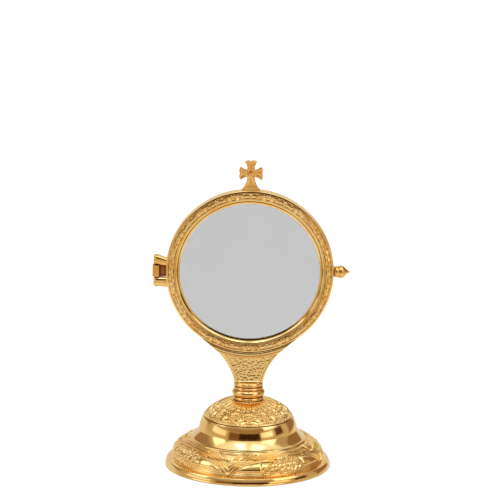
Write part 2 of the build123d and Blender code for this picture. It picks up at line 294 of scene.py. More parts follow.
def leaf(u, v, cu, cv, length, width, turn, rib=0.35):
    """Pointed leaf of unit height from (cu, cv) along turn, with a grooved middle."""
    along, across = turned(u, v, cu, cv, turn)
    along = along / length
    t = np.clip(along, 0, 1)
    half = width * np.sin(pi * t**LEAF_SKEW) ** LEAF_SIDES + TINY
    body = np.clip(1 - (across / half) ** 2, 0, 1) ** LEAF_CROWN * np.sin(pi * t) ** LEAF_ENDS
    groove = rib * np.exp(-((across / (LEAF_RIB * width)) ** 2))
    groove = groove * (t > LEAF_RIB_FROM) * (t < LEAF_RIB_TO)
    return np.where((along > 0) & (along < 1), body * (1 - groove), 0.0)


def highest(*layers):
    """Union of relief layers."""
    top = layers[0]
    for layer in layers[1:]:
        top = np.maximum(top, layer)
    return top


def ridges(distance, *rows):
    """Union of parallel ridges, given as (height, place, half width)."""
    return highest(*(tall * ridge(distance - place, half) for tall, place, half in rows))


def beads(u, v, side, *rows):
    """Union of beads, given as (height, cu, cv, ru, rv) and mirrored by side."""
    return highest(*(tall * bead(u, v, side * cu, *rest) for tall, cu, *rest in rows))


def leaves(u, v, side, *rows, rib=0.35):
    """Union of leaves, given as (height, cu, cv, length, width, lean) and mirrored by side.

    The lean is in degrees from upright."""
    layers = []
    for tall, cu, cv, length, width, lean in rows:
        turn = radians(90 + side * lean)
        layers.append(tall * leaf(u, v, side * cu, cv, length, width, turn, rib))
    return highest(*layers)


def risen(distance, run=1):
    """Straight rise from 0 to 1 over a run."""
    return np.clip(distance / run, 0, 1)


def eased(t):
    """Smooth step from 0 to 1."""
    t = np.clip(t, 0, 1)
    return t * t * (3 - 2 * t)


def rounded(t):
    """Quarter-circle rise from 0 to 1."""
    return np.sqrt(1 - (1 - np.clip(t, 0, 1)) ** 2)


# ---- Foot ----
FOOT_AROUND = 1500
DRAWN_FOOT_R = 41.2  # rim radius of the drawn section
WALL = 1.2
TIER_UNIT, TIER_CENTRE, TIER_R = pi / 2, radians(30), 36.0
TIER_LIFT, TIER_SINK = 0.85, 0.45
TIER_RISE, TIER_REACH = 11.6, 7.4  # height and run of a strap's swing
TIER_STRAPS = ((0.95, 0.0, 0.62), (0.75, 1.45, 0.55), (0.6, 2.65, 0.45), (0.65, -1.45, 0.5))
NESTED_START, NESTED_SLOPE, NESTED_COSINE = 5.4, 1.15, 0.656
NESTED_RIDGES = ((0.8, 0.0, 0.55), (0.55, 1.2, 0.42))
NESTED_CLEAR = 3.0
SHOULDER_RIDGE = (0.45, 12.5, 0.45)
BASE_RIDGE, SHORT_RIDGE = (0.5, 0.5, 0.4), (0.4, 1.5, 0.35)
SHORT_CLEAR = 2.0
LENS_GAP, LENS_LOW, LENS_SIDE = 1.95, 2.0, 11.6
LENS_EDGE, LENS_LIFT = 1.8, 0.6
LEAF_ROWS = ((0.6, 11.0, 4.6), (3.9, 10.0, 4.6), (7.2, 8.5, 4.2))  # height, half row, leaf length
LEAF_PITCH, LEAF_START, LEAF_BACK = 1.75, 0.3, 0.9
LEAF_WIDTH, LEAF_GROOVE = 0.92, 0.25
PLACE_DRIFT, ROOT_DRIFT, LEAST_LEAF = 0.35, 0.5, 0.7
LEAF_LEAN, LEAN_DRIFT, LEAF_FAN = 57, 12, 1.2  # degrees; the fan is in degrees per mm
GRAPES, GRAPE_START, GRAPE_PITCH = 12, -9.5, 1.7
GRAPE_LOW, GRAPE_STEP, GRAPE_R, GRAPE_LIFT = 4.1, 3.3, 0.85, 0.95
CLUSTER_ROUND = (12.0, 5.4, 6.2)  # half length, middle height, half height of the rounded end
CLUSTER_TAPER = (13.0, 9.8, 0.8)  # length, height and tip height of the tapered end
CLUSTER_START, CLUSTER_SLOPE, CLUSTER_EDGE = 12.2, 4, 0.12
TIER_FADE_IN, TIER_FADE_OUT = 0.3, 0.4
SEAM_DEPTH, SEAM_HALF = 0.5, 0.5
# Foot's section from the rim up: radius as drawn, height, bow, step.
FOOT_SECTION = (
    (40.2, 3.4, 0.3, 0.3), (37.8, 4.0, 0, 0.3), (33.4, 11.1, 1.7, 0.14),
    (29.5, 14.0, 0.45, 0.14), (28.0, 14.8, 0, 0.25), (24.6, 18.8, -0.15, 0.4),
)
INNER_LEGS = ((5, -0.3), (4, 0.15), (2, -0.6), (1, -1.7), (0, 0))  # row of the section, bow
STEP_R, FOOT_HOLE_R = 22.6, 18.6
TIER_LEGS = (2, 3)


def tier_relief(azimuth, v):
    """Four ribbed straps that swing up from a V, with smooth lenses and clusters between."""
    half = TIER_UNIT / 2 * TIER_R
    u = wrapped(azimuth, TIER_UNIT, TIER_CENTRE) * TIER_R + 0 * v
    away = half - np.abs(u)
    swing = np.exp(-away / TIER_REACH)
    slope = np.arctan(TIER_RISE / TIER_REACH * swing)
    d = (v - TIER_RISE * (1 - swing)) * np.cos(slope)
    nested = (v - NESTED_START - NESTED_SLOPE * away) * NESTED_COSINE
    room = np.minimum(np.minimum(-d - LENS_GAP, v - LENS_LOW), np.abs(u) - LENS_SIDE)
    return highest(
        ridges(d, *TIER_STRAPS),
        ridges(nested, *NESTED_RIDGES) * (d > NESTED_CLEAR),
        ridges(v, BASE_RIDGE, SHOULDER_RIDGE),
        ridges(v, SHORT_RIDGE) * (d < -SHORT_CLEAR),
        LENS_LIFT * rounded(room / LENS_EDGE),
        cluster_relief(u, v),
    )


def cluster_relief(u, v):
    """Bunch of leaning leaves and grapes: tapered at its left, rounded at its right."""
    rng = np.random.default_rng(SEED)
    layers = [0 * u]
    for cv, spread, length in LEAF_ROWS:
        for k in range(int(2 * spread / LEAF_PITCH)):
            drift = rng.uniform(-PLACE_DRIFT, PLACE_DRIFT)
            cu = -spread + LEAF_PITCH * (k + LEAF_START) + drift
            lean = LEAF_LEAN + rng.uniform(-LEAN_DRIFT, LEAN_DRIFT) - LEAF_FAN * cu
            tall = rng.uniform(LEAST_LEAF, 1.0)
            root = cv + rng.uniform(-ROOT_DRIFT, ROOT_DRIFT)
            turn = radians(lean)
            blade = leaf(u, v, cu - LEAF_BACK, root, length, LEAF_WIDTH, turn, LEAF_GROOVE)
            layers.append(tall * blade)
    for k in range(GRAPES):
        cu = GRAPE_START + GRAPE_PITCH * k
        cv = GRAPE_LOW + GRAPE_STEP * (k % 2) + rng.uniform(-ROOT_DRIFT, ROOT_DRIFT)
        layers.append(GRAPE_LIFT * bead(u, v, cu, cv, GRAPE_R, GRAPE_R))
    half_length, middle, half_height = CLUSTER_ROUND
    round_end = 1 - (u / half_length) ** 2 - ((v - middle) / half_height) ** 2
    length, height, tip = CLUSTER_TAPER
    taper = (height * (1 - risen(-u, length) ** 1.5) + tip - v) / CLUSTER_SLOPE
    left_end = np.minimum(taper, (u + CLUSTER_START) / CLUSTER_SLOPE)
    return highest(*layers) * risen(np.where(u > 0, round_end, left_end), CLUSTER_EDGE)


def foot_piece(material):
    """Lower foot: rim, chased tier, scotia and polished step, as a hollow shell."""
    k = FOOT_R / DRAWN_FOOT_R
    top, inner_top = FOOT_TOP, FOOT_TOP - WALL
    outer = [((r * k, z), bow, step) for r, z, bow, step in FOOT_SECTION]
    outer += [((STEP_R * k, top), 0.3, 0.4), ((FOOT_HOLE_R, top), 0, 0.6)]
    inner = [((FOOT_HOLE_R, inner_top), 0, 0.6), ((STEP_R * k - WALL, inner_top), 0, 0.8)]
    for row, bow in INNER_LEGS:
        r, z = FOOT_SECTION[row][:2]
        inner.append(((r * k - WALL, z - WALL), bow, 1.0))
    rim = [((FOOT_R - WALL, 0), 0, 1.0), ((FOOT_R, 0), 0, 0.5)]
    points, legs = outline((FOOT_R, 0), *outer, *inner, *rim)
    tier = np.isin(legs, TIER_LEGS)
    run = travelled(points)
    v = run - run[int(np.argmax(tier))]
    end = v[tier].max()
    fade = tier * risen(v, TIER_FADE_IN) * risen(end - v, TIER_FADE_OUT)
    seam = SEAM_DEPTH * ridge(v - end, SEAM_HALF)

    def height(azimuth):
        rise = np.zeros((len(azimuth), len(points)))
        relief = tier_relief(azimuth, v[None, tier])
        rise[:, tier] = (TIER_LIFT * relief - TIER_SINK) * fade[tier]
        return rise - seam

    stand_in(lathe("foot_chased", points, FOOT_AROUND, height), "foot", material)


# ---- Dome ----
DOME_AROUND = 1080
DOME_UNIT, DOME_CENTRE = radians(360 / 14), radians(2)
DOME_LIFT, DOME_SINK = 0.8, 0.42
DOME_TUCK = 0.5  # inset and height of the bottom edge
PIT_DEPTH = 0.75  # with the sink, less than the wall
ROSETTE_V, ROSETTE_R, ROSETTE_PETALS = 4.2, 1.4, 6
ROSETTE_PETAL, ROSETTE_HEART = (0.85, 1.0, 0.8), 0.75  # petal: height, half length, half width
EDGE_LINE = (0.5, 0.35, 0.35)
# Motifs at both sides of a rosette, and between two; see beads() and leaves().
BESIDE_BEADS = ((0.65, 1.55, 1.5, 0.85, 0.55),)
BESIDE_LEAVES = ((0.8, 0.6, 6.0, 3.2, 0.85, -36), (0.85, 0, 6.3, 3.6, 0.95, 0))
BETWEEN_BEADS = ((0.7, 0, 7.2, 0.85, 0.8), (0.6, -1.7, 0.95, 0.7, 0.45))
BETWEEN_LEAVES = ((0.85, 0, 1.7, 4.6, 1.1, 0), (0.7, 0, 2.0, 3.1, 0.75, 44))
BESIDE_PITS = (
    (1.0, 0, 1.15, 0.85, 0.75), (0.8, 2.35, 3.0, 0.45, 0.45), (0.9, 2.3, 5.6, 0.5, 0.5),
    (0.7, 1.3, 8.1, 0.42, 0.42),
)
BETWEEN_PITS = ((0.8, 0, 0.95, 0.5, 0.45),)
PETAL_START, PETAL_TIP, PETAL_LEAST, PETAL_END = 8.8, 1.6, 0.05, 1.2
PETAL_LIFT, PETAL_GROOVE, GROOVE_HALF = 0.75, 0.45, 0.28
DOME_CROWN_R, DOME_BOW, INNER_BOW = 8.0, 1.45, -1.3
DOME_FADE_IN, DOME_FADE_OUT = 0.3, 0.5


def dome_relief(azimuth, v, r, length):
    """Rosettes over drilled pits at the bottom, buds and leaves between, petals at the top."""
    u = wrapped(azimuth, DOME_UNIT, DOME_CENTRE) * r
    layers = [ridges(v, EDGE_LINE) + 0 * u]
    tall, petal_length, petal_width = ROSETTE_PETAL
    for k in range(ROSETTE_PETALS):
        a = 2 * pi * (k + 0.5) / ROSETTE_PETALS
        cu, cv = ROSETTE_R * cos(a), ROSETTE_V + ROSETTE_R * sin(a)
        layers.append(tall * bead(u, v, cu, cv, petal_length, petal_width, a))
    layers.append(bead(u, v, 0, ROSETTE_V, ROSETTE_HEART, ROSETTE_HEART))
    pits = 0 * u
    for side in (-1, 1):
        e = u - side * DOME_UNIT / 2 * r
        layers += [beads(u, v, side, *BESIDE_BEADS), beads(e, v, side, *BETWEEN_BEADS)]
        layers += [leaves(u, v, side, *BESIDE_LEAVES), leaves(e, v, side, *BETWEEN_LEAVES)]
        pits = highest(pits, beads(u, v, side, *BESIDE_PITS), beads(e, v, side, *BETWEEN_PITS))
    fine = wrapped(azimuth, DOME_UNIT / 2, DOME_CENTRE)
    tip = np.maximum(risen(v - PETAL_START, PETAL_TIP) ** 0.5, PETAL_LEAST)
    petal = ridge(fine, DOME_UNIT / 4 * tip) ** BEAD_CROWN
    petal *= (v > PETAL_START) * (1 - PETAL_GROOVE * np.exp(-((fine * r / GROOVE_HALF) ** 2)))
    layers.append(PETAL_LIFT * petal * risen(length - v, PETAL_END))
    return highest(*layers) * (1 - pits) - PIT_DEPTH * pits


def dome_piece(material):
    """Chased dome that sits on the polished step, as a hollow shell."""
    crown_r, hole = DOME_CROWN_R, ROD_HOLE_R
    start = (DOME_R - DOME_TUCK, FOOT_TOP)
    points, legs = outline(
        start,
        ((DOME_R, FOOT_TOP + DOME_TUCK), 0, 0.2), ((crown_r, DOME_TOP), DOME_BOW, 0.12),
        ((hole, DOME_TOP), 0, 0.8), ((hole, DOME_TOP - WALL), 0, 0.6),
        ((crown_r - WALL, DOME_TOP - WALL), 0, 0.8),
        ((DOME_R - 0.2 - WALL, FOOT_TOP + DOME_TUCK), INNER_BOW, 0.8),
        ((DOME_R - WALL, FOOT_TOP), 0, 0.5),
        (start, 0, 0.3),
    )
    zone = legs == 1
    run = travelled(points)
    v = run - run[int(np.argmax(zone))]
    length = v[zone].max()
    fade = risen(v, DOME_FADE_IN) * risen(length - v, DOME_FADE_OUT)

    def height(azimuth):
        rise = np.zeros((len(azimuth), len(points)))
        relief = dome_relief(azimuth, v[None, zone], points[None, zone, 0], length)
        rise[:, zone] = (DOME_LIFT * relief - DOME_SINK) * fade[zone]
        return rise

    stand_in(lathe("foot_dome_chased", points, DOME_AROUND, height), "foot_dome", material)


# ---- Turned rings of the stem ----
TURNED_AROUND = 192
BEAD_STEP = 0.12
SEAT_FOOT_R, SEAT_END_R = 7.2, 6.2
COLLAR_LINE = 1.5  # depth of the line between the collar's two beads, below its top
COLLAR_RADII = (6.3, 6.9, 6.5)  # at the bottom, at the line and at the top
UPPER_BEAD_STEP = 0.55  # the upper bead is smaller than the lower one by this much
NECK_FOOT_R, NECK_END_R = 6.4, 6.5


def beaded(node, start_r, rows, material):
    """Turned ring from a start radius; rows are (crown radius, end radius, end height)."""
    low = box_mm(node)[0][2]
    legs, here = [], (start_r, low)
    for crown_r, end_r, end_z in rows:
        legs.append(((end_r, end_z), crown_r - (here[0] + end_r) / 2, BEAD_STEP))
        here = (end_r, end_z)
    for end in ((ROD_HOLE_R, here[1]), (ROD_HOLE_R, low), (start_r, low)):
        legs.append((end, 0, 1.0))
    points, _ = outline((start_r, low), *legs, soften=0.08)
    stand_in(lathe(node + "_turned", points, TURNED_AROUND), node, material)


def neck_pieces(material):
    """The three turned rings between the dome and the stem."""
    seat_r, collar_r, neck_r = (box_mm(n)[1][0] for n in ("seat_ring", "collar", "neck_ring"))
    bottom_r, line_r, top_r = COLLAR_RADII
    lower = (collar_r, line_r, COLLAR_TOP - COLLAR_LINE)
    upper = (collar_r - UPPER_BEAD_STEP, top_r, COLLAR_TOP)
    beaded("seat_ring", SEAT_FOOT_R, [(seat_r, SEAT_END_R, SEAT_TOP)], material)
    beaded("collar", bottom_r, [lower, upper], material)
    beaded("neck_ring", NECK_FOOT_R, [(neck_r, NECK_END_R, STEM_LOW)], material)


# ---- Stem ----
SIDE_R, SIDE_X, SIDE_Z = 30.0, 36.7, 37.1  # concave side arc
KNEE_Z, HORN_Z = 59.8, 66.3
TAPER_HEIGHT, TAPER_SHARE, TAPER_POWER = 13.7, 0.5, 1.2
STEM_ROWS, FACE_COLUMNS, EDGE_COLUMNS = 120, 161, 9
FACE_SHARE = 0.955  # share of the half width that the coarser columns cover
EDGE_ROUND, EDGE_POWER = 1.0, 2.4
REAR_GAP = 0.3  # the back face ends this far from the rear ring
SKIN = 0.12  # the plain surface lies this far inside the CAD solid
RELIEF_FROM = 2.5  # half depth from which the relief has its full height
PANEL_BORDER, PANEL_TOP_R, PANEL_LOW = 1.6, 44.4, 0.7
PANEL_SLANT, PANEL_WALL, PANEL_SINK = 0.85, 0.3, 0.3
PANEL_RIM, PANEL_RIM_HALF, RIM_MOST = 0.2, 0.5, 0.45
MARKS_WIDTH, MARKS_HEIGHT = 30, 16
MARK_PITCH, MARK_LIFT, MARK_DRIFT, MARK_ROW = 1.35, 0.1, 0.42, 0.9
MARK_SIZES, MARK_DEPTHS = (0.4, 0.62), (0.6, 1.0)  # the sizes are shares of the pitch


def stem_half_width(z):
    """Half width: a concave arc up to the knee, then straight up to the horns."""
    low = np.minimum(z, KNEE_Z)
    drop = np.sqrt(SIDE_R**2 - (low - SIDE_Z) ** 2)
    slope = (KNEE_Z - SIDE_Z) / sqrt(SIDE_R**2 - (KNEE_Z - SIDE_Z) ** 2)
    return SIDE_X - drop + slope * (z - low)


def stem_half_depth(z):
    """Half depth: a little more than the case's at the bottom, the same at the top."""
    t = risen(z - STEM_LOW, TAPER_HEIGHT)
    return -FRONT_Y + TAPER_SHARE * (STEM_DEPTH + FRONT_Y) * (1 - t) ** TAPER_POWER


def stem_top(share, contact):
    """Height at which a line of constant share of the half width meets the case."""
    low, high = np.full_like(share, STEM_LOW), np.full_like(share, HORN_Z)
    for _ in range(40):
        z = (low + high) / 2
        outside = np.hypot(share * stem_half_width(z), z - RING_Z) > contact
        low = np.where(outside, z, low)
        high = np.where(outside, high, z)
    return low


def stipple(rng):
    """Punch marks scattered over the panel, as (x, height, radius, depth share)."""
    rows, columns = int(MARKS_HEIGHT / MARK_PITCH) + 1, int(MARKS_WIDTH / MARK_PITCH) + 1
    spots = []
    for i in range(rows):
        for j in range(columns):
            x = (j + 0.5 * (i % 2)) * MARK_PITCH - MARKS_WIDTH / 2
            x += rng.uniform(-MARK_DRIFT, MARK_DRIFT) * MARK_PITCH
            z = i * MARK_PITCH * MARK_ROW + rng.uniform(-MARK_DRIFT, MARK_DRIFT) * MARK_PITCH
            spots.append((x, z, MARK_PITCH * rng.uniform(*MARK_SIZES), rng.uniform(*MARK_DEPTHS)))
    return spots


def stem_piece(material):
    """Flared bracket with rounded edges and a stippled panel sunk in front and back."""
    edge = np.linspace(FACE_SHARE, 1, EDGE_COLUMNS)
    middle = np.linspace(-FACE_SHARE, FACE_SHARE, FACE_COLUMNS)[1:-1]
    face = np.r_[-edge[::-1], middle, edge]
    share = np.r_[face, face[::-1][1:-1]]
    side = np.r_[-np.ones(len(face)), np.ones(len(face) - 2)]
    ends = stem_top(np.abs(share), np.where(side < 0, RING_R, RING_R + REAR_GAP))
    t = np.linspace(0, 1, STEM_ROWS)[:, None]
    z = STEM_LOW + t * (ends[None, :] - STEM_LOW)
    width = stem_half_width(z)
    x = share[None, :] * width
    lift = risen((1 - np.abs(share)) * width, EDGE_ROUND)
    y = side * np.sqrt(1 - (1 - lift) ** EDGE_POWER) * stem_half_depth(z)
    from_ring = np.hypot(x, z - RING_Z)
    inset = np.minimum(from_ring - PANEL_TOP_R, z - STEM_LOW - PANEL_LOW)
    inset = np.minimum((width - np.abs(x)) * PANEL_SLANT - PANEL_BORDER, inset)
    sunk = eased(inset / PANEL_WALL)
    rng = np.random.default_rng(SEED)
    marks = np.zeros_like(z)
    for way in (-1, 1):
        mask = (side == way) & (inset > 0)
        for cx, cz, radius, high in stipple(rng):
            spot = bead(x, z, cx, STEM_LOW + cz, radius, radius) * high
            marks = np.where(mask, np.maximum(marks, spot), marks)
    band = ridge(from_ring - (RING_R + PANEL_TOP_R) / 2, (PANEL_TOP_R - RING_R) / 2 + 0.1)
    line = ridge(inset + PANEL_RIM_HALF, PANEL_RIM_HALF)
    rim = PANEL_RIM * (line + band * (from_ring < PANEL_TOP_R))
    rise = (MARK_LIFT * marks - PANEL_SINK) * sunk + np.minimum(rim, RIM_MOST)
    y = y + side * (rise - SKIN) * risen(np.abs(y), RELIEF_FROM) ** 2
    stand_in(mirrored_tube("stem_cast", np.stack([x, y, z], -1)), "stem", material)


# ---- Case ----
BORDER_AROUND, BORDER_REPEATS = 2200, 28
BORDER_R = RING_R - 2.7  # where the repeats are laid out
BORDER_LIFT, BORDER_SINK = 0.7, 0.3
BORDER_START, BORDER_END = 0.45, 0.85  # plain margins inside and outside the relief
DRAWN_BORDER = 3.6  # border width that the motifs are drawn for
VINE_LIFT, VINE_SWING, VINE_HALF = 0.8, 0.27, 0.34  # the swing is a share of the width
FAN_LEAVES, FAN_STEP, FAN_PITCH, FAN_ROOT = 5, 44, 0.42, -0.35  # the step is in degrees
FAN_REACH, FAN_SHORTER, FAN_LONGER = 2.3, 0.15, 0.3
FAN_WIDTH, FAN_GROOVE = 0.62, 0.25
# Side motifs: height, share of the repeat, row, then as in beads() and leaves().
BORDER_BERRY, BORDER_LEAF = (0.95, 0.38, 1.2, 0.6, 0.5), (0.9, 0.2, -1.1, 1.8, 0.5, -62)
BUD_LIFT, BUD_PLACE, BUD_SIZE, SIDE_GROOVE = 0.8, (0.6, -1.5), (0.45, 0.38), 0.2
BORDER_FADE, SPILL_IN, SPILL_OUT, SPILL_FROM = 0.2, 0.35, 0.6, 0.25
BORDER_LEGS = (3, 4, 5)
CROWN_RISE = 0.42  # behind the front of the CAD ring
BORE_R, COUNTERBORE_R = 36.8, 37.5
PART_GAP = 0.05  # from the plane between the half rings
CASE_AROUND = 512
WINDOW_R, REAR_WINDOW_R, BEZEL_R = 35.1, 36.0, 37.42
PANE_AROUND, PANE_EDGE = 192, 0.12


def border_relief(azimuth, v, width):
    """Waving vine with a leaf fan and berries in every bend."""
    unit = 2 * pi / BORDER_REPEATS
    step = unit * BORDER_R
    size = width / DRAWN_BORDER
    phase = azimuth / unit * pi + 0 * v
    index = np.floor(azimuth / unit + 0.5)
    flip = np.where(index % 2 == 0, 1.0, -1.0)
    u = (azimuth / unit - index) * step + 0 * v
    w = (v - width / 2) * flip
    swing = VINE_SWING * width * np.cos(phase)
    layers = [VINE_LIFT * ridge((v - width / 2) + swing, VINE_HALF)]
    for k in range(FAN_LEAVES):
        place = k - FAN_LEAVES // 2
        turn = radians(90 + place * FAN_STEP)
        reach = (FAN_REACH - FAN_SHORTER * abs(place)) * size + FAN_LONGER * abs(place)
        root = (FAN_PITCH * place, FAN_ROOT)
        layers.append(leaf(u, w, *root, reach, FAN_WIDTH, turn, FAN_GROOVE))
    berry, side_leaf = (
        (tall, share * step, row * size, *rest)
        for tall, share, row, *rest in (BORDER_BERRY, BORDER_LEAF)
    )
    bud = (BUD_LIFT, BUD_PLACE[0], BUD_PLACE[1] * size, *BUD_SIZE)
    for side in (-1, 1):
        layers.append(beads(u, w, side, berry, bud))
        layers.append(leaves(u, w, side, side_leaf, rib=SIDE_GROOVE))
    return highest(*layers)


def ring_front_piece(material):
    """Front half ring: a chased, crowned border between two narrow sloping steps."""
    crown = FRONT_Y + CROWN_RISE
    points, legs = outline(
        (BORE_R, -PART_GAP),
        ((BORE_R, GLASS_Y), 0, 0.6), ((COUNTERBORE_R, GLASS_Y), 0, 0.4),
        ((COUNTERBORE_R, crown + 0.14), 0, 0.3), ((38.3, crown - 0.01), 0, 0.09),
        ((40.4, crown), 0.3, 0.09), ((41.7, crown + 0.24), 0, 0.09),
        ((RING_R, -2.35), 0.06, 0.1), ((RING_R, -PART_GAP), 0, 0.3),
        ((BORE_R, -PART_GAP), 0, 0.8),
        soften=0.08,
    )
    zone = np.isin(legs, BORDER_LEGS)
    run = travelled(points)
    start = run[int(np.argmax(zone))] + BORDER_START
    v = run - start
    width = run[zone].max() - BORDER_END - start
    early = BORDER_FADE / 2
    fade = zone * risen(v + early, BORDER_FADE) * risen(width + early - v, BORDER_FADE)

    def height(azimuth):
        rise = np.zeros((len(azimuth), len(points)))
        relief = border_relief(azimuth, v[None, zone], width)
        spill = risen(relief - SPILL_FROM, SPILL_FROM)
        spill = spill * risen(width + SPILL_OUT - v[zone], BORDER_FADE)
        share = np.maximum(fade[zone], spill * risen(v[zone] + SPILL_IN, BORDER_FADE))
        rise[:, zone] = BORDER_LIFT * relief * share - BORDER_SINK * fade[zone]
        return rise

    piece = lathe("ring_front_chased", points, BORDER_AROUND, height, "y", CASE_CENTRE)
    stand_in(piece, "ring_front", material)


def ring_piece(node, start, legs, material):
    """Plain turned ring about the case's axis."""
    points, _ = outline(start, *legs, soften=0.08)
    piece = lathe(node + "_turned", points, CASE_AROUND, None, "y", CASE_CENTRE)
    stand_in(piece, node, material)


def case_pieces(material):
    """Polished inner bezel and rear ring."""
    bezel = [
        ((WINDOW_R, GLASS_Y - 0.1), 0, 0.1), ((35.95, GLASS_Y - 0.25), 0, 0.1),
        ((36.75, GLASS_Y - 1.15), 0.05, 0.08), ((BEZEL_R, GLASS_Y - 1.26), 0.02, 0.06),
        ((BEZEL_R, GLASS_Y), 0, 0.4), ((WINDOW_R, GLASS_Y), 0, 0.5),
    ]
    ring_piece("bezel_ring", (WINDOW_R, GLASS_Y), bezel, material)
    lip = box_mm("rear_glass")[1][1]
    rear = [
        ((RING_R, PART_GAP), 0, 0.8), ((RING_R, 1.7), 0, 0.4), ((40.9, 3.05), 0.35, 0.12),
        ((37.9, 3.1), 0.42, 0.12), ((36.3, 3.0), 0.35, 0.1),
        ((REAR_WINDOW_R, lip + 0.25), 0, 0.2), ((REAR_WINDOW_R, lip), 0, 0.2),
        ((BORE_R, lip), 0, 0.5), ((BORE_R, PART_GAP), 0, 0.5),
    ]
    ring_piece("door_ring", (BORE_R, PART_GAP), rear, material)


def pane(name, node, material):
    """Round window pane with a fine ground edge."""
    (_, y0, _), (r, y1, _) = box_mm(node)
    small, count = r - PANE_EDGE, PANE_AROUND
    rings = ((small, y0), (r, y0 + PANE_EDGE), (r, y1 - PANE_EDGE), (small, y1))
    azimuth = np.linspace(0, 2 * pi, count, endpoint=False)
    points = [(0, y0, RING_Z)]
    for radius, y in rings:
        points += [(radius * sin(a), y, RING_Z + radius * cos(a)) for a in azimuth]
    points.append((0, y1, RING_Z))
    last = len(points) - 1
    outer = last - count
    faces = []
    for j in range(count):
        j2 = (j + 1) % count
        faces += [(0, 1 + j2, 1 + j), (last, outer + j, outer + j2)]
        faces += [(p + j, p + j2, p + count + j2, p + count + j) for p in range(1, outer, count)]
    mesh = bpy.data.meshes.new(name)
    mesh.from_pydata([tuple(c * MM for c in p) for p in points], [], faces)
    mesh.update()
    stand_in(placed(name, mesh), node, material)


# ---- Knob and hinge lugs ----
KNOB_AROUND = 128
KNOB_AXIS_R = 0.02  # the outline stops this short of the axis
KNOB_SHANK_R, KNOB_NECK_R, KNOB_BEAD_R, KNOB_TIP_R = 1.0, 2.3, 2.75, 0.6
KNOB_CLEARANCE = 0.45  # from the case's rim to the knob's shoulder
LUG_HEIGHT, EYE_R, EYE_Y = 5.1, 1.7, -0.1
LUG_ROWS, LUG_STEPS = 61, 60
LUG_ROOT = 1.0  # the root reaches this far into the case's rim
LUG_THINNING, LUG_FORWARD = 0.5, 1.15  # at the root: less half depth, and further forward
LUG_ROUND, LUG_PULL, LUG_BULGE, LUG_MOST = 1.2, 0.7, 0.3, 0.9
LUG_NOSE, LUG_BULGE_POWER = 0.75, 2.2
LUG_SLOPES = {"upper": (-0.4, -1.7), "lower": (0.0, -0.1)}  # drop to the root, below and above


def knob_piece(material):
    """Turned finger knob: two beads, then a drawn-out tip."""
    low, high = box_mm("door_knob")
    shoulder = RING_R + KNOB_CLEARANCE
    points, _ = outline(
        (KNOB_AXIS_R, low[0]),
        ((KNOB_SHANK_R, low[0]), 0, 0.3), ((KNOB_SHANK_R, shoulder), 0, 0.3),
        ((KNOB_NECK_R, shoulder), 0, 0.3), ((KNOB_BEAD_R, 44.1), 0.33, 0.08),
        ((KNOB_NECK_R, 47.4), 0.7, 0.08), ((KNOB_TIP_R, 49.4), -0.15, 0.12),
        ((KNOB_AXIS_R, high[0]), 0.12, 0.08), ((KNOB_AXIS_R, low[0]), 0, 0.6),
        soften=0.06,
    )
    piece = lathe("door_knob_turned", points, KNOB_AROUND, None, "x", CASE_CENTRE)
    stand_in(piece, "door_knob", material)


def there_and_back(values, sign=1):
    """Values along one side of a loop, times a sign, then back along the other side."""
    return np.r_[sign * values, values[::-1][1:-1]]


def lug_pieces(material):
    """Both outer hinge lugs: rounded eyes whose shoulders slope down to the ring."""
    low, high = box_mm("hinge_lugs")
    eye_x = low[0] + EYE_R
    root_x = -(RING_R - LUG_ROOT)
    s = np.linspace(0, 1, LUG_STEPS)
    x = root_x + (low[0] - root_x) * np.sin(s * pi / 2)
    share = risen(x - eye_x, root_x - eye_x)
    round_half = np.sqrt(np.clip(EYE_R**2 - (x - eye_x) ** 2, 0, None))
    half = np.where(x < eye_x, round_half, EYE_R - LUG_THINNING * share)
    middle = EYE_Y - LUG_FORWARD * share
    column_x, column_y, inward = (there_and_back(values) for values in (x, middle, share))
    column_half = there_and_back(half, -1)
    t = np.linspace(0, 1, LUG_ROWS)[:, None]
    for name, z0 in (("upper", high[2] - LUG_HEIGHT), ("lower", low[2])):
        slope_low, slope_high = LUG_SLOPES[name]
        base = z0 + slope_low * inward * (1 - inward / 2) * 2
        top = z0 + LUG_HEIGHT + slope_high * inward
        from_end = np.minimum(t, 1 - t) * (top - base)
        pull = 1 - rounded(from_end / LUG_ROUND)
        bulge = np.abs(2 * t - 1) ** LUG_BULGE_POWER
        front = (column_half < 0) * (LUG_PULL * pull + LUG_BULGE * bulge)
        y = column_y + column_half * (1 - np.minimum(front, LUG_MOST))
        nose = risen(eye_x - column_x, EYE_R)
        z = base + t * (top - base)
        co = np.stack([column_x + LUG_NOSE * pull * nose + 0 * z, y, z], -1)
        stand_in(mirrored_tube("hinge_lug_" + name, co), "hinge_lugs", material)


# ---- Cross ----
CROSS_CELL = 0.11
CROSS_DROP = 6.7  # from the top of the cross to its crossing
CROSS_FOOT_X = 4.4
CROSS_SEAT_R = RING_R - 0.4  # the foot of the cross reaches this radius of the case
FRONT_ROUND, BACK_ROUND = 0.5, 0.4
DISH_DEPTH, DISH_FROM, DISH_RUN = 0.42, 0.35, 1.0
HUB_DROP, HUB_R, HUB_RUN = 0.4, 0.7, 1.2
FOOT_LINE = 6.6  # below the crossing, under which there is no dish
GROOVES = ((-6.9, 0.28, 1.0), (-8.15, 0.25, 0.5))  # height, half width, depth share
GROOVE_DEPTH, RIB_DEPTH, RIB_COUNT = 0.3, 0.05, 10.4
